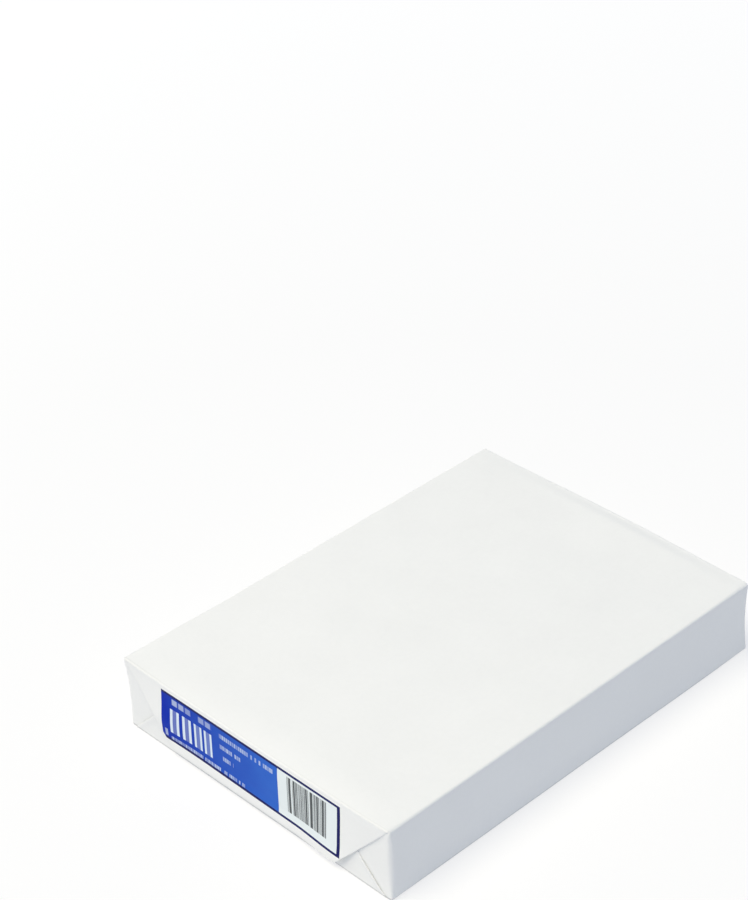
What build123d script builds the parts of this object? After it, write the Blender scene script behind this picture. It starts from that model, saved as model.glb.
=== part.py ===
"""A wrapped ream of A4 copier paper, closed at both ends like a parcel.

Five hundred sheets lie in one paper wrapper that is folded and glued shut, so the pack is one
sealed solid. X runs along the short side of the sheet, Y along the long side and Z up. The origin
is in the middle of the underside. Each end is closed in three folds: the sides tuck in first, the
bottom flap goes up over them, and the top flap comes down last and springs off a little at its
free edge. The two long edges of the wrapper overlap on the underside.
"""

import os
from math import radians, tan

from build123d import *

# The sheets, in millimetres
sheet_width = 210.0
sheet_length = 297.0
sheet_count = 500
sheet_thickness = 0.097

# The wrapper
wrapper_thickness = 0.15
side_slack = 0.7  # air between the stack and the wrapper at each long side
fold_thickness = 0.35  # a flap is doubled at its slanted edges and holds a little air
corner_radius = 3.0  # upright corners
edge_radius = 1.2  # edges round the top and the underside
end_fold_radius = 1.8  # where a flap turns down or up over an end

# The end flaps
flap_inset = 2.0  # from the pack's side to the start of a flap's slanted edge
top_flap_angle = 50.0  # slanted edge, in degrees below the level
bottom_flap_angle = 43.0  # slanted edge, in degrees above the level
top_flap_clearance = 4.0  # from the underside up to the top flap's free edge
bottom_flap_height = 38.0
lip_height = 12.0  # the part of the top flap that springs off the end
lip_rise = 0.9  # how far its free edge stands off

# The overlap on the underside
lap_offset = 18.0  # from the middle to the outer layer's free edge
lap_width = 30.0  # overlap, over which the inner layer comes level again
lap_step = 0.15

pack_width = sheet_width + 2 * (side_slack + wrapper_thickness)
pack_height = sheet_count * sheet_thickness + 2 * wrapper_thickness
tucked_length = sheet_length + 4 * wrapper_thickness
bottom_flap_length = tucked_length + 2 * fold_thickness
pack_length = bottom_flap_length + 2 * fold_thickness
flap_width = pack_width - 2 * flap_inset


def narrowed(drop, angle):
    """Half the width of a flap at this distance from its fold."""
    return flap_width / 2 - drop / tan(radians(angle))


# The stack in its wrapper, with both sides tucked in at the ends
with BuildPart() as stack:
    with BuildSketch(Plane.XY):
        RectangleRounded(pack_width, tucked_length, corner_radius)
    extrude(amount=pack_height)
    fillet(stack.faces().group_by(Axis.Z)[0].edges(), edge_radius)
    fillet(stack.faces().group_by(Axis.Z)[-1].edges(), edge_radius)

# The bottom flaps of both ends, joined through the stack
with BuildPart() as bottom_flaps:
    with BuildSketch(Plane.XZ):
        with BuildLine():
            Polyline(
                (-flap_width / 2, 0),
                (flap_width / 2, 0),
                (narrowed(bottom_flap_height, bottom_flap_angle), bottom_flap_height),
                (-narrowed(bottom_flap_height, bottom_flap_angle), bottom_flap_height),
                close=True,
            )
        make_face()
    extrude(amount=bottom_flap_length / 2, both=True)
    folds = bottom_flaps.edges().filter_by(Axis.X).group_by(Axis.Z)[0]
    fillet(folds, end_fold_radius)

# The top flaps: a lengthways section with a lip at each end, cut to the flaps' slanted outline
flap_depth = pack_height - top_flap_clearance
lip_top = top_flap_clearance + lip_height
with BuildPart() as top_flaps:
    with BuildSketch(Plane.YZ) as section:
        with BuildLine():
            Polyline(
                (0, pack_height),
                (pack_length / 2, pack_height),
                (pack_length / 2, lip_top),
                (pack_length / 2 + lip_rise, top_flap_clearance),
                (pack_length / 2 + lip_rise - fold_thickness, top_flap_clearance),
                (pack_length / 2 - fold_thickness, lip_top),
                (0, lip_top),
                close=True,
            )
        make_face()
        mirror(about=Plane.YZ)
    extrude(amount=pack_width / 2, both=True)
    with BuildSketch(Plane.XZ):
        with BuildLine():
            Polyline(
                (-flap_width / 2, pack_height),
                (flap_width / 2, pack_height),
                (narrowed(flap_depth, top_flap_angle), top_flap_clearance),
                (-narrowed(flap_depth, top_flap_angle), top_flap_clearance),
                close=True,
            )
        make_face()
    extrude(amount=pack_length, both=True, mode=Mode.INTERSECT)
    folds = top_flaps.edges().filter_by(Axis.X).group_by(Axis.Z)[-1]
    fillet(folds, end_fold_radius)

# The whole pack, with the step of the lengthways overlap on its underside
with BuildPart() as wrapped_ream:
    add(stack.part)
    add(bottom_flaps.part)
    add(top_flaps.part)
    with BuildSketch(Plane.XZ):
        with BuildLine():
            Polyline(
                (-lap_offset, 0),
                (-lap_offset, lap_step),
                (-lap_offset - lap_width, 0),
                close=True,
            )
        make_face()
    extrude(amount=pack_length, both=True, mode=Mode.SUBTRACT)

wrapped_ream.part.label = "wrapped_ream"

os.makedirs("parts", exist_ok=True)
export_step(wrapped_ream.part, "parts/wrapped_ream.step")
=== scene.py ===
"""A wrapped ream of A4 copier paper on a pale floor, laid out as a Blender add-on.

The ream is a stack of sheets in one paper wrapper, closed at both ends like a parcel. Its width,
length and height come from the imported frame. X runs along the short side of the sheet, Y along the
long side and Z up, with the origin in the middle of the underside, and every length is in metres.
The printed end faces -Y. The file is run as a script.
"""

from math import cos, pi, radians, sin, tan

import bmesh
import bpy
import numpy as np
from mathutils import Euler, Matrix, Vector


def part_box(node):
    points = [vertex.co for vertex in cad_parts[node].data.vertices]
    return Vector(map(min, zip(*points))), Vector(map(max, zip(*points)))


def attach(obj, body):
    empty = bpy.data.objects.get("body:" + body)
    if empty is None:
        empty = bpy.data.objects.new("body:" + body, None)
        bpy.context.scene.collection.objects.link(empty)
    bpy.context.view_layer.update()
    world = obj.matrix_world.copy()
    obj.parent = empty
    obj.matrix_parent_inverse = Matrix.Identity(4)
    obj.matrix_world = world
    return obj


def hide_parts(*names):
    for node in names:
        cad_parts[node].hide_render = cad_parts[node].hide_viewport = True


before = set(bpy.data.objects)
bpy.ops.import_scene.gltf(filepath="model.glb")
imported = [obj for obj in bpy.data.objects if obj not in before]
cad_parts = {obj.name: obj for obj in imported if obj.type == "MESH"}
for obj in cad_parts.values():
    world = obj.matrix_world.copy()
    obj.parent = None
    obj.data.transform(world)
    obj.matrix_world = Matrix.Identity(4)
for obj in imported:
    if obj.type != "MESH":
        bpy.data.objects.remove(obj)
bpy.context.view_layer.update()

bl_info = {
    "name": "Wrapped ream of paper",
    "version": (1, 0, 0),
    "blender": (4, 5, 0),
    "location": "3D View > Sidebar > Ream",
    "description": "Builds a wrapped ream of A4 paper with folded ends and a plain printed field",
    "category": "Add Mesh",
}

NODE = "wrapped_ream"
BODY = "root"
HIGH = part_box(NODE)[1]
MM = 0.001


# ------------------------------------------------------------ sizes and colours a user may change


class ReamSizes(bpy.types.PropertyGroup):
    """The block of paper and how its wrapper is folded."""

    half_width: bpy.props.FloatProperty(
        name="Half width", description="From the middle to a long side",
        default=HIGH[0], unit="LENGTH",
    )
    height: bpy.props.FloatProperty(
        name="Height", description="Stack and wrapper together", default=HIGH[2], unit="LENGTH",
    )
    lip_room: bpy.props.FloatProperty(
        name="Lip room", description="How far the flaps' free edges reach past the flat ends",
        default=0.9 * MM, unit="LENGTH",
    )
    layer: bpy.props.FloatProperty(
        name="Folded layer", description="Thickness of a folded flap",
        default=0.35 * MM, unit="LENGTH",
    )
    side_radius: bpy.props.FloatProperty(
        name="Upright corner radius",
        description="Where a long side turns onto an end, half way up",
        default=3.2 * MM, unit="LENGTH",
    )
    fold_radius: bpy.props.FloatProperty(
        name="End fold radius", description="Where a flap turns over an end",
        default=1.2 * MM, unit="LENGTH",
    )
    edge_radius: bpy.props.FloatProperty(
        name="Long edge radius", description="Long edges, half way along",
        default=1.3 * MM, unit="LENGTH",
    )
    corner_slump: bpy.props.FloatProperty(
        name="Corner slump", description="Extra radius of the long edges at the four corners",
        default=0.5 * MM, unit="LENGTH",
    )
    top_flap_inset: bpy.props.FloatProperty(
        name="Top flap inset", description="From a long side to the start of its slanted edge",
        default=0.9 * MM, unit="LENGTH",
    )
    bottom_flap_inset: bpy.props.FloatProperty(
        name="Bottom flap inset", description="From a long side to the start of its slanted edge",
        default=3.6 * MM, unit="LENGTH",
    )
    top_flap_angle: bpy.props.FloatProperty(
        name="Top flap angle", description="Slanted edge below the level",
        default=radians(49.1), subtype="ANGLE",
    )
    bottom_flap_angle: bpy.props.FloatProperty(
        name="Bottom flap angle", description="Slanted edge above the level",
        default=radians(46), subtype="ANGLE",
    )
    top_flap_clearance: bpy.props.FloatProperty(
        name="Top flap clearance", description="From the floor to the top flap's free edge",
        default=4.0 * MM, unit="LENGTH",
    )
    bottom_flap_height: bpy.props.FloatProperty(
        name="Bottom flap height", description="How far the bottom flap reaches up",
        default=38.0 * MM, unit="LENGTH",
    )
    tip_curl: bpy.props.FloatProperty(
        name="Tip curl", description="How far the printed flap's right tip springs off",
        default=1.5 * MM, unit="LENGTH",
    )


class PrintSettings(bpy.types.PropertyGroup):
    """The colours of the wrapper and of the field printed on one end."""

    paper: bpy.props.FloatVectorProperty(
        name="Paper", description="White of the wrapper", subtype="COLOR",
        default=(0.88, 0.885, 0.875),
    )
    deep_blue: bpy.props.FloatVectorProperty(
        name="Deep blue", description="Left end of the blue field", subtype="COLOR",
        default=(0.0005, 0.024, 0.41),
    )
    clear_blue: bpy.props.FloatVectorProperty(
        name="Clear blue", description="Right end of the blue field", subtype="COLOR",
        default=(0.028, 0.135, 0.59),
    )
    blank: bpy.props.FloatVectorProperty(
        name="Blank field", description="White of the framed field", subtype="COLOR",
        default=(0.81, 0.87, 0.88),
    )
    navy: bpy.props.FloatVectorProperty(
        name="Navy", description="Outline of the printed field", subtype="COLOR",
        default=(0.010, 0.012, 0.11),
    )
    pale_ink: bpy.props.FloatVectorProperty(
        name="Pale ink", description="Blocks left white in the blue", subtype="COLOR",
        default=(0.72, 0.82, 0.92),
    )
    bar_ink: bpy.props.FloatVectorProperty(
        name="Bar ink", description="Upright bars in the white field", subtype="COLOR",
        default=(0.10, 0.11, 0.115),
    )


class StageSettings(bpy.types.PropertyGroup):
    """Camera, floor and light."""

    azimuth: bpy.props.FloatProperty(
        name="Azimuth", description="Camera's turn round the ream",
        default=radians(46.18), subtype="ANGLE",
    )
    elevation: bpy.props.FloatProperty(
        name="Elevation", description="Camera above the horizon",
        default=radians(33.31), subtype="ANGLE",
    )
    roll: bpy.props.FloatProperty(
        name="Roll", description="Camera's turn about its own axis",
        default=radians(-1.65), subtype="ANGLE",
    )
    distance: bpy.props.FloatProperty(
        name="Distance", description="Camera to the ream's origin, along the view",
        default=1.453, unit="LENGTH",
    )
    sideways: bpy.props.FloatVectorProperty(
        name="Sideways", description="Camera's offset across and up the view", size=2,
        default=(-0.0399, 0.139), unit="LENGTH",
    )
    lens: bpy.props.FloatProperty(
        name="Lens", description="Focal length in millimetres", default=98.6, unit="CAMERA",
    )
    sky: bpy.props.FloatProperty(
        name="Sky", description="Strength of the even light", default=0.35,
    )
    sky_colour: bpy.props.FloatVectorProperty(
        name="Sky colour", description="Cool tint of the even light", subtype="COLOR",
        default=(0.38, 0.59, 1.0),
    )
    horizon: bpy.props.FloatProperty(
        name="Horizon", description="Brightness of the white band at the horizon", default=0.96,
    )
    key: bpy.props.FloatProperty(
        name="Key", description="Power of the soft key light", default=291.0, unit="POWER",
    )
    key_colour: bpy.props.FloatVectorProperty(
        name="Key colour", description="Warm tint of the key light", subtype="COLOR",
        default=(1.0, 0.92, 0.74),
    )
    key_distance: bpy.props.FloatProperty(
        name="Key distance", description="From the ream to the key light",
        default=5.4, unit="LENGTH",
    )
    key_tilt: bpy.props.FloatProperty(
        name="Key tilt", description="Key light's lean from overhead towards the printed end",
        default=radians(22), subtype="ANGLE",
    )
    key_turn: bpy.props.FloatProperty(
        name="Key turn", description="Key light's turn round the ream",
        default=radians(-18), subtype="ANGLE",
    )
    key_spread: bpy.props.FloatProperty(
        name="Key spread", description="Half the angle that the key light fills, from the ream",
        default=radians(18), subtype="ANGLE",
    )
    floor_glow: bpy.props.FloatProperty(
        name="Floor glow", description="Brightness of the floor's own light near the ream",
        default=0.68,
    )


# ------------------------------------------------------------------------- shader building blocks


class Maths:
    """A shader socket that can stand in a formula: each operator adds one Math node."""

    def __init__(self, nodes, socket):
        self.nodes = nodes
        self.socket = socket

    def by(self, operation, *others, clamp=False):
        """This value and others through one Math node."""
        settings = {"operation": operation, "use_clamp": clamp}
        return self.nodes.value("Math", settings, [self, *others])

    def __add__(self, other):
        return self.by("ADD", other)

    def __radd__(self, other):
        return self.by("ADD", other)

    def __sub__(self, other):
        return self.by("SUBTRACT", other)

    def __rsub__(self, other):
        return self.nodes.value("Math", {"operation": "SUBTRACT"}, [other, self])

    def __mul__(self, other):
        return self.by("MULTIPLY", other)

    def __rmul__(self, other):
        return self.by("MULTIPLY", other)

    def __truediv__(self, other):
        return self.by("DIVIDE", other)

    def __rtruediv__(self, other):
        return self.nodes.value("Math", {"operation": "DIVIDE"}, [other, self])

    def above(self, edge, soft):
        """0 under edge and 1 over it, with a ramp as wide as soft."""
        return self.by("MULTIPLY_ADD", 1 / soft, 0.5 - edge / soft, clamp=True)

    def below(self, edge, soft):
        """1 under edge and 0 over it, with a ramp as wide as soft."""
        return self.by("MULTIPLY_ADD", -1 / soft, 0.5 + edge / soft, clamp=True)


class Nodes:
    """An emptied node tree, to be filled."""

    def __init__(self, tree):
        self.tree = tree
        self.tree.nodes.clear()
        self.material = None

    @classmethod
    def for_material(cls, name):
        """The tree of a new material."""
        material = bpy.data.materials.new(name)
        material.use_nodes = True
        nodes = cls(material.node_tree)
        nodes.material = material
        return nodes

    def add(self, kind, settings=None, inputs=None):
        """Adds a node: its settings, then its sockets by name or number, each value or link."""
        node = self.tree.nodes.new("ShaderNode" + kind)
        for key, setting in (settings or {}).items():
            setattr(node, key, setting)
        given = inputs or {}
        pairs = given.items() if isinstance(given, dict) else enumerate(given)
        for key, given_value in pairs:
            self.feed(node.inputs[key], given_value)
        return node

    def feed(self, socket, given):
        """Links a socket to another, or sets its value."""
        if isinstance(given, Maths):
            given = given.socket
        if isinstance(given, bpy.types.NodeSocket):
            self.tree.links.new(given, socket)
        else:
            socket.default_value = given

    def value(self, kind, settings=None, inputs=None, output=0):
        """As add, and gives one output as a value for formulas."""
        return Maths(self, self.add(kind, settings, inputs).outputs[output])

    def mixed(self, factor, first, second, blend="MIX"):
        """Two colours through one Mix node."""
        node = self.add("Mix", {"data_type": "RGBA", "blend_type": blend})
        self.feed(node.inputs[0], factor)
        for socket, given in ((node.inputs[6], first), (node.inputs[7], second)):
            if not isinstance(given, (Maths, bpy.types.NodeSocket)):
                given = (*given[:3], 1)
            self.feed(socket, given)
        return node.outputs[2]

    def place(self):
        """Object coordinates as a vector socket and as three values."""
        vector = self.add("TexCoord").outputs["Object"]
        apart = self.add("SeparateXYZ", inputs=[vector])
        return vector, *(Maths(self, apart.outputs[k]) for k in range(3))

    def noise(self, vector, scale, detail=2.0, roughness=0.5):
        """Noise with this many features to the metre."""
        return self.value("TexNoise", {}, {"Vector": vector, "Scale": scale, "Detail": detail,
                                           "Roughness": roughness})


# Features to the metre, from the clouds in the paper's formation down to its fibres
CLOUDS = 26.0
COCKLES = 34.0
FLOCKS = 420.0
FIBRES = 2600.0

# Painted shade on the wrapper: the grey line at its foot, standing in for the contact shadow, and
# how near the fold over the printed end a darker band damps its highlight
FOOT_SHADE = (0.15 * MM, 1.5 * MM)
FOLD_SHADE_WIDTH = 1.2 * MM
FOLD_SHADE_DEPTH = 1.6 * MM
FOLD_SHADE_SOFT = 0.8 * MM


def finish_paper(nodes, sizes, place, colour, ink):
    """Coated wrapping paper: faint cloudy formation, fine fibres and a soft cockle in the bump.

    The colour is dimmed and lifted by clouds and by flocks, and ink smooths the sheen. A narrow
    line at the foot is painted grey as shade, standing in for the contact shadow, and a faint
    painted shade along the fold over the printed end damps its highlight.
    """
    vector, _, y, z = place
    clouds = nodes.noise(vector, CLOUDS, 3.0)
    flocks = nodes.noise(vector, FLOCKS, 2.0)
    fibres = nodes.noise(vector, FIBRES, 1.0)
    # Painted shade: a grey line at the foot stands in for the contact shadow under the edges
    foot_shade = z.above(FOOT_SHADE[0], 0.3 * MM) * z.below(FOOT_SHADE[1], 1.0 * MM)
    # Painted shade: a faint darker band along the fold over the printed end damps its highlight
    at_end = y.below(FOLD_SHADE_WIDTH - flat_end(sizes), FOLD_SHADE_SOFT)
    fold_shade = at_end * z.above(sizes.height - FOLD_SHADE_DEPTH, FOLD_SHADE_SOFT)
    painted_shade = foot_shade * (0.2 + clouds * 0.2) + fold_shade * (0.04 + clouds * 0.06)
    shade = (0.955 + clouds * 0.05 + flocks * 0.03 + fibres * 0.015) * (1 - painted_shade)
    grey = nodes.add("CombineColor", inputs=[shade, shade, shade]).outputs[0]
    toned = nodes.mixed(1.0, colour, grey, "MULTIPLY")
    cockle = nodes.noise(vector, COCKLES, 2.0, 0.45)
    height = cockle * 0.9 + flocks * 0.045 + fibres * 0.03
    bump = nodes.add("Bump", inputs={"Strength": 0.35, "Distance": 0.6 * MM, "Height": height})
    rough = 0.50 + flocks * 0.10 + clouds * 0.06 - ink * 0.12
    shader = nodes.add("BsdfPrincipled", inputs={
        "Base Color": toned, "Roughness": rough, "Normal": bump.outputs[0],
        "Specular IOR Level": 0.06,
    })
    nodes.add("OutputMaterial", inputs=[shader.outputs[0]])
    return nodes.material


def plain_paper(colours, sizes):
    """The wrapper's bare white paper."""
    nodes = Nodes.for_material("wrapper_paper")
    return finish_paper(nodes, sizes, nodes.place(), colours.paper, 0.0)


# ------------------------------------------------------------------------------ the printed field

# Where things are printed, in millimetres from the left of the end and from the floor. A patch is
# its left, right, bottom and top, and a line of words adds its pitch.
FIELD = (31.2, 176.0, 9.0, 44.0)
OUTLINE = 1.7
RIGHT_OUTLINE = 2.4
TILT = -0.011  # slope of the field's lower edge
BLUE_END = 127.2
WORD_BLOCKS = ((42.0, 7.2), (51.9, 7.2), (61.2, 6.4), (69.6, 6.4))  # middle and width
WORD_SLOT = 3.1
WORD_BAND = (17.2, 33.8)
HEADLINE = (40.0, 73.4, 37.2, 41.2, 5.6)
SMALL_LINES = (
    (79.6, 123.4, 36.0, 39.0, 1.7),
    (79.6, 96.8, 28.4, 31.4, 1.7),
    (80.0, 90.6, 20.8, 23.8, 1.7),
    (38.6, 99.6, 11.9, 14.2, 1.35),
)
SIDE_MARK = (33.6, 35.8, 13.0, 18.0)
BARS = (134.6, 165.4, 16.0, 40.8)
BAR_UNIT = 0.33
BAR_GROUP = 4.4  # spacing of the crowded groups
BAR_SEED = 8.2
INK_EDGE = 0.22  # how wide a printed edge fades
GOLDEN = 0.618034

# How strongly the pale ink covers, and how far the blue wanders from its even drift
SLOT_FILL = 0.8
MARK_INK = 0.5
HEADLINE_INK = 0.75
SMALL_INK = 0.7
BLUE_WANDER = 0.5
BLUE_PATCHES = 60.0  # features to the metre


def patch(across, up, left, right, bottom, top):
    """1 inside an upright rectangle and 0 outside, with a soft edge."""
    inside = across.above(left, INK_EDGE) * across.below(right, INK_EDGE)
    return inside * up.above(bottom, INK_EDGE) * up.below(top, INK_EDGE)


def word_line(nodes, across, up, left, right, bottom, top, pitch):
    """A line of words as blank blocks, one pitch apart and each inked by a hash of its number."""
    cell = across / pitch
    number = cell.by("FLOOR")
    within = cell.by("FRACT")
    chance = nodes.value("TexWhiteNoise", {"noise_dimensions": "1D"}, {"W": number + bottom})
    block = within.above(0.14, 0.16) * within.below(0.92, 0.16)
    ink = block * (0.35 + chance * 0.65) * chance.above(0.12, 0.02)
    return patch(across, up, left, right, bottom, top) * ink


def upright_bars(nodes, across, up):
    """Upright bars on a module grid, crowded into groups.

    A module is inked where the density, a sine wave over the groups, passes the fraction of the
    module's number times the golden ratio, stirred by a hash of it. No code can be read from them.
    """
    module = ((across - BARS[0]) / BAR_UNIT).by("FLOOR")
    stir = nodes.value("TexWhiteNoise", {"noise_dimensions": "1D"}, {"W": module + BAR_SEED})
    rank = (module * GOLDEN + stir * 0.35).by("FRACT")
    density = 0.58 + ((across - BARS[0]) * (2 * pi / BAR_GROUP) - 1.0).by("SINE") * 0.24
    return patch(across, up, *BARS) * (density - rank).above(0.0, 0.01)


def printed_paper(colours, sizes):
    """Paper with a printed field: blue with white blocks on the left, framed bars on the right.

    Every shape is a formula in the distance across the end and up from the floor.
    """
    nodes = Nodes.for_material("printed_wrapper_paper")
    place = nodes.place()
    vector, x, _, z = place
    across = (x + sizes.half_width) / MM
    up = z / MM
    left, right, bottom, top = FIELD
    tilted = up - (across - right) * TILT
    field = patch(across, up, left, right, 0, top) * tilted.above(bottom, INK_EDGE)
    inner = patch(across, up, left, right - RIGHT_OUTLINE, 0, top - OUTLINE) * tilted.above(
        bottom + OUTLINE, INK_EDGE
    )
    blue = inner * across.below(BLUE_END, INK_EDGE)
    blank = inner * across.above(BLUE_END, INK_EDGE)
    drift = (across - left) / (BLUE_END - left)
    patchy = nodes.noise(vector, BLUE_PATCHES, 3.0)
    drift = (drift + (patchy - 0.5) * BLUE_WANDER).by("MULTIPLY", 1.0, clamp=True)
    blue_ink = nodes.mixed(drift, colours.deep_blue, colours.clear_blue)
    colour = nodes.mixed(field, colours.paper, colours.navy)
    colour = nodes.mixed(blue, colour, blue_ink)
    colour = nodes.mixed(blank, colour, colours.blank)
    pale = patch(across, up, *SIDE_MARK) * MARK_INK
    for middle, width in WORD_BLOCKS:
        block = patch(across, up, middle - width / 2, middle + width / 2, *WORD_BAND)
        slot = patch(across, up, middle - WORD_SLOT / 2, middle + WORD_SLOT / 2, *WORD_BAND)
        pale = pale + (block - slot * SLOT_FILL)
    pale = pale + word_line(nodes, across, up, *HEADLINE) * HEADLINE_INK
    for line in SMALL_LINES:
        pale = pale + word_line(nodes, across, up, *line) * SMALL_INK
    colour = nodes.mixed(pale * blue, colour, colours.pale_ink)
    bars = upright_bars(nodes, across, up)
    colour = nodes.mixed(bars, colour, colours.bar_ink)
    ink = field * (1 - blank * (1 - bars))
    return finish_paper(nodes, sizes, place, colour, ink)


# --------------------------------------------------------------------------- surfaces of the ream

# The lengthways lap underneath: its place as a share of the half width, its step and its fade
LAP_SHARE = -0.173
LAP_STEP = 0.15 * MM
LAP_FADE = 30 * MM

# Flaps: points across each strip, how far from its fold it starts, and how deep it sinks there
TOP_FLAP_POINTS = 121
BOTTOM_FLAP_POINTS = 91
TOP_FLAP_LEAD = 46 * MM
BOTTOM_FLAP_LEAD = 40 * MM
FLAP_SINK = 0.30 * MM


def eased(t):
    """Smooth step from 0 to 1, as 3t^2 - 2t^3."""
    t = np.clip(t, 0.0, 1.0)
    return t * t * (3 - 2 * t)


def hollowed(x, y, z):
    """Gentle unevenness of a taut wrapper, in metres: long and short sine waves."""
    long_wave = np.sin(31 * x + 17 * y + 1.3) * np.sin(23 * y - 29 * z + 0.4)
    short_wave = np.sin(83 * x - 47 * y + 2.6) * np.sin(71 * y + 90 * z + 1.9)
    return (0.20 * long_wave + 0.07 * short_wave) * MM


def long_edge_radius(sizes, along):
    """Radius of the long edges at a share along, from -1 to 1: tight, and slack at the corners."""
    slump = eased((np.abs(along) - 0.72) / 0.28)
    return sizes.edge_radius + sizes.corner_slump * slump


def upright_radius(sizes, share):
    """Radius of the upright corners at a share of the half height: sharp at top and foot."""
    return sizes.side_radius * (0.28 + 0.72 * (1 - share**2))


def rounding(beyond, radius):
    """How far a rounded edge has fallen this far past its start: a circle's gap to its tangent."""
    over = np.clip(beyond, 0, radius)
    return radius - np.sqrt(radius**2 - over**2)


def flat_end(sizes):
    """Y of the flat outer face of an end, past which only the flaps' free edges reach."""
    return HIGH[1] - sizes.lip_room


def settled(sizes, points):
    """The slack shape of the whole pack, as one smooth field that every layer is carried through.

    One long side swells, most of all low down towards the back. The back end bows out and up in
    the middle, behind a slight step down in the top. The top rolls off gently towards the printed
    end, whose upper left corner stands out a little. Nothing moves on the floor except outwards.
    """
    # Shares from 0 to 1: how high a point is, and how near each side and end
    x, y, z = np.moveaxis(points, -1, 0)
    share = np.clip(z / sizes.height, 0, 1)
    right = eased((x - 55 * MM) / (50 * MM))
    left = eased((-x - 55 * MM) / (50 * MM))
    back = eased((y - 105 * MM) / (42 * MM))
    front = eased((-y - 70 * MM) / (80 * MM))
    middle = np.exp(-(((x - 14 * MM) / (64 * MM)) ** 2))
    toward_back = eased((y + 70 * MM) / (200 * MM))

    # Movements in millimetres
    swell = right * (0.8 + (0.5 + 0.75 * toward_back) * (1 - share))
    ear = left * (0.2 * np.sin(pi * share) + 1.3 * front * share**1.5)
    bow = back * (0.5 + 1.7 * middle * share + 1.1 * right * (1 - share))
    jut = 0.5 * front * left * share**2
    step = 0.95 * eased((y - 139.5 * MM) / (8 * MM)) * (0.2 + 0.8 * middle)
    near_fold = np.clip((-y - 128 * MM) / (20 * MM), 0, 1)
    roll = 1.2 * near_fold**2 * (1 - (x / sizes.half_width) ** 6)
    rise = share * (back * middle - step - roll)
    return points + np.stack([swell - ear, bow - jut, rise], axis=-1) * MM


def outline_of_section():
    """The section's outline, a rounded rectangle: each point's corner shares and its unit normal.

    A point is at the corner's centre plus the radius times its normal. Straight runs keep one
    normal and move their corner share from -1 to 1, and corners keep their share and turn the
    normal. Two close points in the underside take the step of the lap.
    """
    run_x = np.linspace(1, -1, 91)
    run_z = np.linspace(-1, 1, 25)
    turn = np.linspace(0, pi / 2, 8)[1:-1]
    lap = LAP_SHARE + np.array([-0.001, 0.001])
    under = np.sort(np.concatenate([-run_x, lap]))
    parts = []
    runs = ((1, run_z), (run_x, 1), (-1, -run_z), (under, -1))
    corners = ((1, 1), (-1, 1), (-1, -1), (1, -1))
    pairs = zip(runs, corners, strict=True)
    for quarter, ((share_x, share_z), (corner_x, corner_z)) in enumerate(pairs):
        start = quarter * pi / 2
        count = max(np.size(share_x), np.size(share_z))
        straight = np.broadcast_to(share_x, count), np.broadcast_to(share_z, count)
        parts.append((*straight, np.full(count, start)))
        parts.append((np.full(turn.size, corner_x), np.full(turn.size, corner_z), turn + start))
    share_x, share_z, angle = (np.concatenate(column) for column in zip(*parts, strict=True))
    return share_x.astype(float), share_z.astype(float), np.cos(angle), np.sin(angle)


def stack_surface(sizes):
    """The wrapped stack with its sides tucked in, as a closed grid of points.

    Columns go round the section. Rows go along the pack, turn over each end through a quarter
    circle, and close on a line in the middle of the end, which is fuller at the top, where no
    bottom flap lies over it. The underside carries the step of the lengthways lap.
    """
    share_x, share_z, normal_x, normal_z = outline_of_section()
    under_gap = 0.35 * sizes.layer
    fold = 0.5 * sizes.fold_radius
    tucked = flat_end(sizes) - 2 * sizes.layer
    half_height = sizes.height / 2 - under_gap
    ends = np.linspace(0, 1, 26)[::-1]
    corner = np.linspace(pi / 2, 0, 9)
    middle = np.sin(np.linspace(-pi / 2, pi / 2, 97))
    flat = np.full(ends.size - 1, pi / 2)
    open_rows = 2 * (corner.size - 1) + middle.size
    end_rows = np.ones(ends.size - 1 + corner.size - 1)
    turn = np.concatenate([-flat, -corner[:-1], np.zeros(middle.size), corner[::-1][1:], flat])
    close = np.concatenate([ends[:-1], np.zeros(open_rows), ends[::-1][1:]])
    along = np.concatenate([-end_rows, middle, end_rows])
    turn, close, along = (column[:, None] for column in (turn, close, along))

    radius_side = upright_radius(sizes, share_z)
    radius_end = radius_side * normal_x**2 + fold * normal_z**2
    inset = 1 - np.cos(turn)
    radius = long_edge_radius(sizes, along) * (1 - close)
    inset_x = radius_side * inset + close * (half_height - radius_side)
    inset_z = fold * inset + close * (half_height - fold)
    x = share_x * (sizes.half_width - inset_x - radius) + radius * normal_x
    z = sizes.height / 2 + share_z * (half_height - inset_z - radius) + radius * normal_z
    y = along * (tucked - radius_end) + radius_end * np.sin(turn)
    facing_y = np.sin(turn) * np.ones_like(x)
    facing_x = normal_x * np.cos(turn)
    facing_z = normal_z * np.cos(turn)

    push = hollowed(x, y, z)
    sideways = np.clip((sizes.half_width - np.abs(x)) / (20 * MM), 0, 1)
    x = x + facing_x * push
    fuller = 0.9 * sizes.layer * eased((z - 39 * MM) / (5 * MM))
    y = y + facing_y * (push * sideways + fuller)
    z = z + np.clip(facing_z, 0, 1) * push
    z = z + lap_step(sizes, x) * (facing_z < -0.99)
    return settled(sizes, np.stack([x, y, z], axis=-1))


def lap_step(sizes, x):
    """Height of the inner layer over the outer one beside the lengthways lap, which fades out."""
    beyond = LAP_SHARE * sizes.half_width - x
    return np.where(beyond > 0, LAP_STEP * np.clip(1 - beyond / LAP_FADE, 0, 1), 0.0)


def edge_drop(sizes, x, along):
    """How far a long edge's rounding has fallen at x."""
    radius = long_edge_radius(sizes, along)
    return rounding(np.abs(x) - (sizes.half_width - radius), radius)


def corner_drop(sizes, x, z):
    """How far an upright corner's rounding has fallen back at x, at this height."""
    radius = upright_radius(sizes, 2 * np.clip(z / sizes.height, 0, 1) - 1)
    return rounding(np.abs(x) - (sizes.half_width - radius), radius)


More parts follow.
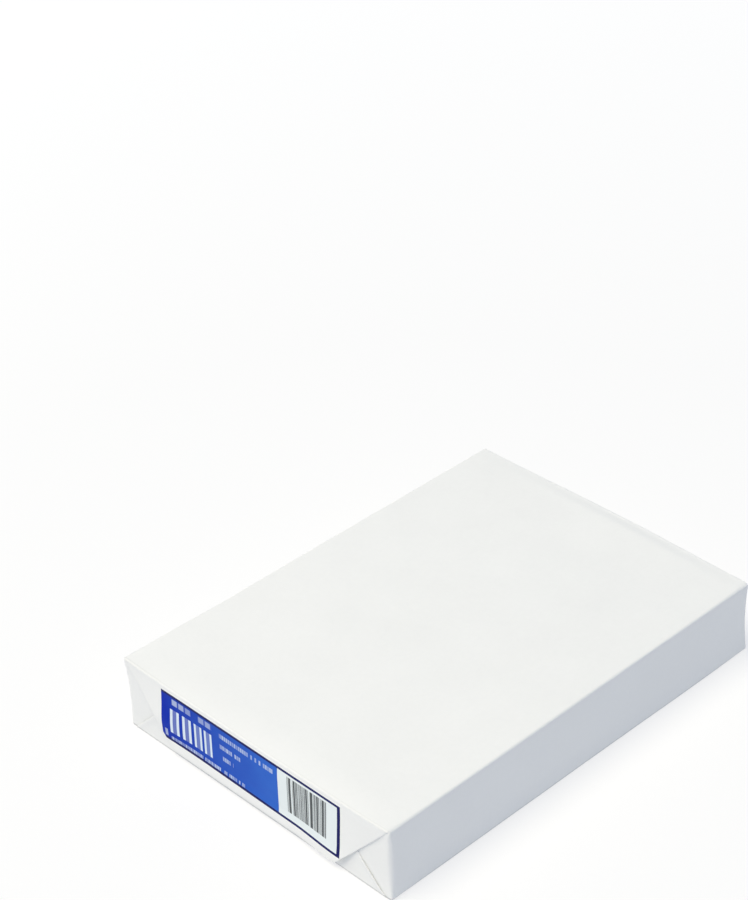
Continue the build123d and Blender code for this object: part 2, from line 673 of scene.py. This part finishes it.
def flap_path(lead, radius, reach, spacing):
    """A flap's way over an end: distance to the end, fall from the face, and turn of its normal.

    It runs straight along the face for lead, through a quarter circle and straight down to reach.
    """
    straight = radius + (lead - radius) * np.linspace(1, 0, 44)[:-1] ** 1.5
    turn = np.linspace(0, pi / 2, 12)
    fall = np.linspace(radius, reach, int((reach - radius) / spacing) + 2)[1:]
    back = np.concatenate([straight, radius * (1 - np.sin(turn)), np.zeros(fall.size)])
    down = np.concatenate([np.zeros(straight.size), radius * (1 - np.cos(turn)), fall])
    angle = np.concatenate([np.zeros(straight.size), turn, np.full(fall.size, pi / 2)])
    return back[:, None], down[:, None], angle[:, None]


def flap_section(columns, half_width, thickness):
    """A flat strip with rounded edges: across, and depth under its outer face, all round it."""
    rows = len(half_width)
    flat = np.linspace(-1, 1, columns)
    bend = np.linspace(-pi / 2, pi / 2, 7)[1:-1]
    round_off = thickness / 2
    straight = half_width - round_off
    across = np.concatenate([
        np.broadcast_to(flat, (rows, columns)) * straight,
        straight + round_off * np.cos(bend),
        np.broadcast_to(-flat, (rows, columns)) * straight,
        -straight - round_off * np.cos(bend),
    ], axis=1)
    depth = np.concatenate([
        np.zeros((rows, columns)),
        round_off * (1 + np.sin(bend)),
        np.broadcast_to(thickness, (rows, columns)),
        round_off * (1 - np.sin(bend)),
    ], axis=1)
    return across, depth


def top_flap_lift(sizes, x, down, side):
    """How far a top flap stands off its end: sprung free edge, curled tip and slack left half."""
    reach = sizes.height - sizes.top_flap_clearance
    spring = 0.8 * MM * eased((down - (reach - 14 * MM)) / (14 * MM))
    tip_x = sizes.half_width - sizes.top_flap_inset - reach / tan(sizes.top_flap_angle)
    away = np.hypot(x - tip_x, (down - reach) * 0.8)
    curl = sizes.tip_curl * eased(1 - away / (34 * MM))
    slack = np.exp(-((x + 74 * MM) / (17 * MM)) ** 2 - ((down - 27 * MM) / (12 * MM)) ** 2)
    bulge = (1.5 if side < 0 else 0.7) * MM * slack
    hang = eased((down - 2 * MM) / (10 * MM))
    wave = 0.20 * MM * (1 + np.sin(47 * x + 0.8) * np.sin(60 * down + 0.6))
    return (spring + (curl if side < 0 else 0.35 * curl) + bulge + wave) * hang


def top_flap_surface(sizes, side):
    """A top flap: the strip carried over the end, its outer face level with the top of the pack.

    It starts sunk a little under the top face and comes level with it towards the fold. Past the
    fold its half width shrinks by the drop over the tangent of the flap's angle.
    """
    reach = sizes.height - sizes.top_flap_clearance
    back, down, angle = flap_path(TOP_FLAP_LEAD, sizes.fold_radius, reach, 1.0 * MM)
    thickness = sizes.layer * (1 - 0.4 * eased((down - 30 * MM) / (12 * MM)))
    half_width = sizes.half_width - sizes.top_flap_inset - down / tan(sizes.top_flap_angle)
    across, depth = flap_section(TOP_FLAP_POINTS, half_width, thickness)
    end = flat_end(sizes)
    out = end - back + 0 * across
    sink = FLAP_SINK * np.clip(back / TOP_FLAP_LEAD, 0, 1)
    flat = np.cos(angle)
    rise = hollowed(across, side * out, sizes.height) * flat
    lift = top_flap_lift(sizes, across * -side, down + 0 * across, side)
    fallen = sink + edge_drop(sizes, across, out / end) * flat
    hugging = corner_drop(sizes, across, sizes.height - down)
    y = side * (out + (lift - depth - hugging) * np.sin(angle))
    z = sizes.height - down - fallen + rise - depth * flat
    return settled(sizes, np.stack([across, y, z], axis=-1))


def bottom_flap_surface(sizes, side):
    """A bottom flap: as a top flap, but turned up from the underside, one layer further in."""
    reach = sizes.bottom_flap_height
    back, up, angle = flap_path(BOTTOM_FLAP_LEAD, sizes.fold_radius, reach, 1.6 * MM)
    thickness = sizes.layer + 0 * up
    half_width = sizes.half_width - sizes.bottom_flap_inset - up / tan(sizes.bottom_flap_angle)
    across, depth = flap_section(BOTTOM_FLAP_POINTS, half_width, thickness)
    out = flat_end(sizes) - sizes.layer - back + 0 * across
    sink = FLAP_SINK * np.clip(back / BOTTOM_FLAP_LEAD, 0, 1)
    flat = np.cos(angle)
    slant = (sizes.height - up) / tan(sizes.top_flap_angle)
    covered = sizes.half_width - sizes.top_flap_inset - slant
    free = eased((np.abs(across) - covered) / (7 * MM))
    edge = eased(1 - (half_width - np.abs(across)) / (7 * MM)) * eased(up / (6 * MM))
    slack = 0.5 * MM * edge * free
    fallen = edge_drop(sizes, across, out / flat_end(sizes)) * flat
    hugging = corner_drop(sizes, across, up)
    y = side * (out + (slack - depth - hugging) * np.sin(angle))
    z = up + sink + fallen + depth * flat
    return settled(sizes, np.stack([across, y, z], axis=-1))


# -------------------------------------------------------------------------------- mesh and object

# Welding: points nearer than this are one, and faces thinner than this are dropped
WELD = 1e-7
SLIVER = 1e-8
SHARP_FROM = radians(42)


def mesh_of(name, points, materials, printed=None):
    """Makes a closed mesh of a grid of points: quads between the rows, and a face across each end.

    printed, if given, says for each point whether its face takes the second material.
    """
    rows, columns = points.shape[:2]
    index = np.arange(rows * columns).reshape(rows, columns)
    after = np.roll(index, -1, axis=1)
    quads = np.stack([index[:-1], after[:-1], after[1:], index[1:]], axis=-1).reshape(-1, 4)
    mesh = bpy.data.meshes.new(name)
    mesh.from_pydata(points.reshape(-1, 3).tolist(), [], quads.tolist())
    for material in materials:
        mesh.materials.append(material)
    if printed is not None:
        choice = printed[:-1].reshape(-1).astype(np.int32)
        mesh.polygons.foreach_set("material_index", choice)
    mesh.polygons.foreach_set("use_smooth", np.ones(len(quads), bool))
    close_mesh(mesh)
    piece = bpy.data.objects.new(name, mesh)
    bpy.context.scene.collection.objects.link(piece)
    return piece


def close_mesh(mesh):
    """Merges doubled points, fills the open ends and turns every face outwards."""
    work = bmesh.new()
    work.from_mesh(mesh)
    bmesh.ops.remove_doubles(work, verts=work.verts, dist=WELD)
    bmesh.ops.dissolve_degenerate(work, edges=work.edges, dist=SLIVER)
    rims = [edge for edge in work.edges if edge.is_boundary]
    if rims:
        bmesh.ops.holes_fill(work, edges=rims, sides=0)
    bmesh.ops.recalc_face_normals(work, faces=work.faces)
    work.to_mesh(mesh)
    work.free()
    mesh.set_sharp_from_angle(angle=SHARP_FROM)


def seat(piece):
    """Ties a piece to the frame: it rides on the pack and stands for its node, which is hidden."""
    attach(piece, BODY)
    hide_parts(NODE)


def paper_for(context):
    """The wrapper's bare paper, made once."""
    scene = context.scene
    made = bpy.data.materials.get("wrapper_paper")
    return made or plain_paper(scene.ream_print, scene.ream_sizes)


# -------------------------------------------------------------------------------------- operators


class REAM_OT_stack(bpy.types.Operator):
    """Builds the wrapped stack: four sides, tucked-in ends and the lap underneath"""

    bl_idname = "ream.stack"
    bl_label = "Wrapped stack"

    def execute(self, context):
        points = stack_surface(context.scene.ream_sizes)
        seat(mesh_of("wrapped_stack", points, [paper_for(context)]))
        return {"FINISHED"}


class REAM_OT_bottom_flaps(bpy.types.Operator):
    """Builds the flap that turns up over each end"""

    bl_idname = "ream.bottom_flaps"
    bl_label = "Bottom flaps"

    def execute(self, context):
        for name, side in (("front", -1), ("back", 1)):
            points = bottom_flap_surface(context.scene.ream_sizes, side)
            seat(mesh_of(f"bottom_flap_{name}", points, [paper_for(context)]))
        return {"FINISHED"}


class REAM_OT_top_flaps(bpy.types.Operator):
    """Builds the flap that comes down over each end; the front one is printed"""

    bl_idname = "ream.top_flaps"
    bl_label = "Top flaps"

    def execute(self, context):
        sizes = context.scene.ream_sizes
        papers = [paper_for(context), printed_paper(context.scene.ream_print, sizes)]
        for name, side in (("front", -1), ("back", 1)):
            points = top_flap_surface(sizes, side)
            outer = np.arange(points.shape[1]) < TOP_FLAP_POINTS
            on_end = points[..., 2] < sizes.height - sizes.fold_radius
            printed = on_end & outer & (side < 0)
            used = papers if side < 0 else papers[:1]
            seat(mesh_of(f"top_flap_{name}", points, used, printed))
        return {"FINISHED"}


class REAM_OT_stage(bpy.types.Operator):
    """Sets the floor, the soft lights and the camera"""

    bl_idname = "ream.stage"
    bl_label = "Studio stage"

    def execute(self, context):
        settings = context.scene.ream_stage
        context.scene.view_settings.view_transform = "Standard"
        lay_floor(settings)
        light_evenly(context.scene, settings)
        hang_key_light(context.scene, settings)
        place_camera(context.scene, settings)
        return {"FINISHED"}


# The floor: half its size, how far it lies under the ream, and from where, how far on and by how
# much its glow grows
FLOOR_HALF = 6.0
FLOOR_DROP = 0.05 * MM
GLOW_START = 0.4
GLOW_RUN = 3.6
GLOW_GAIN = 0.27


def lay_floor(settings):
    """A plain pale floor just under the ream, lit from within so that shadows on it stay faint.

    It glows more with distance, as the key light falls off, so that it stays even to the horizon.
    """
    corners = [(-1, -1), (1, -1), (1, 1), (-1, 1)]
    points = [(x * FLOOR_HALF, y * FLOOR_HALF, -FLOOR_DROP) for x, y in corners]
    mesh = bpy.data.meshes.new("floor")
    mesh.from_pydata(points, [], [(0, 1, 2, 3)])
    nodes = Nodes.for_material("pale_floor")
    matt = nodes.add("BsdfDiffuse", inputs={"Color": (0.30, 0.30, 0.30, 1)})
    _, x, y, _ = nodes.place()
    away = (x * x + y * y).by("SQRT")
    gain = ((away - GLOW_START) / GLOW_RUN).by("MULTIPLY", GLOW_GAIN, clamp=True)
    strength = settings.floor_glow + gain
    glow = nodes.add("Emission", inputs={"Color": (1.0, 1.0, 1.0, 1), "Strength": strength})
    both = nodes.add("AddShader", inputs=[matt.outputs[0], glow.outputs[0]])
    nodes.add("OutputMaterial", inputs=[both.outputs[0]])
    mesh.materials.append(nodes.material)
    floor = bpy.data.objects.new("floor", mesh)
    bpy.context.scene.collection.objects.link(floor)


def light_evenly(scene, settings):
    """Even, cool light from all round, fading to white at the horizon."""
    world = bpy.data.worlds.new("even_light")
    world.use_nodes = True
    nodes = Nodes(world.node_tree)
    direction = nodes.add("TexCoord").outputs["Generated"]
    height = nodes.value("SeparateXYZ", inputs=[direction], output=2)
    white = (settings.horizon / settings.sky,) * 3
    colour = nodes.mixed(height.above(0.10, 0.12), white, settings.sky_colour)
    sky = nodes.add("Background", inputs={"Color": colour, "Strength": settings.sky})
    nodes.add("OutputWorld", inputs=[sky.outputs[0]])
    scene.world = world


def hang_key_light(scene, settings):
    """One large round softbox, high in front of the printed end and a little to its left."""
    turn = Euler((settings.key_tilt, 0, settings.key_turn)).to_matrix()
    spot = turn @ Vector((0, 0, settings.key_distance))
    lamp = bpy.data.lights.new("key_light", "AREA")
    lamp.shape = "DISK"
    lamp.size = 2 * settings.key_distance * tan(settings.key_spread)
    lamp.energy = settings.key
    lamp.color = settings.key_colour
    light = bpy.data.objects.new("key_light", lamp)
    light.matrix_world = Matrix.LocRotScale(spot, turn, None)
    scene.collection.objects.link(light)


def place_camera(scene, settings):
    """A camera at the set azimuth, elevation, roll and distance, moved across its own view."""
    azimuth, elevation, roll = settings.azimuth, settings.elevation, settings.roll
    ahead = cos(elevation)
    back = np.array([sin(azimuth) * ahead, -cos(azimuth) * ahead, sin(elevation)])
    level = np.cross([0, 0, 1], back)
    level /= np.linalg.norm(level)
    upright = np.cross(back, level)
    right = level * cos(roll) + upright * sin(roll)
    up = upright * cos(roll) - level * sin(roll)
    spot = back * settings.distance + right * settings.sideways[0] + up * settings.sideways[1]
    turned = np.column_stack([right, up, back, spot])
    data = bpy.data.cameras.new("camera")
    data.lens = settings.lens
    data.clip_start, data.clip_end = 0.05, 30.0
    camera = bpy.data.objects.new("camera", data)
    camera.matrix_world = Matrix([*turned.tolist(), [0, 0, 0, 1]])
    scene.collection.objects.link(camera)
    scene.camera = camera


class REAM_PT_panel(bpy.types.Panel):
    """Lists the ream's pieces and their settings in the sidebar"""

    bl_label = "Wrapped ream"
    bl_space_type = "VIEW_3D"
    bl_region_type = "UI"
    bl_category = "Ream"

    def draw(self, context):
        for group, settings in (
            ("Sizes", context.scene.ream_sizes),
            ("Print", context.scene.ream_print),
            ("Stage", context.scene.ream_stage),
        ):
            box = self.layout.box()
            box.label(text=group)
            for key in settings.__annotations__:
                box.prop(settings, key)
        for operator in OPERATORS:
            self.layout.operator(operator.bl_idname)


OPERATORS = (REAM_OT_stack, REAM_OT_bottom_flaps, REAM_OT_top_flaps, REAM_OT_stage)
CLASSES = (ReamSizes, PrintSettings, StageSettings, *OPERATORS, REAM_PT_panel)


def register():
    for each in CLASSES:
        bpy.utils.register_class(each)
    bpy.types.Scene.ream_sizes = bpy.props.PointerProperty(type=ReamSizes)
    bpy.types.Scene.ream_print = bpy.props.PointerProperty(type=PrintSettings)
    bpy.types.Scene.ream_stage = bpy.props.PointerProperty(type=StageSettings)


def unregister():
    for name in ("ream_sizes", "ream_print", "ream_stage"):
        delattr(bpy.types.Scene, name)
    for each in reversed(CLASSES):
        bpy.utils.unregister_class(each)


def main():
    register()
    bpy.ops.ream.stack()
    bpy.ops.ream.bottom_flaps()
    bpy.ops.ream.top_flaps()
    bpy.ops.ream.stage()


if __name__ == "__main__":
    main()
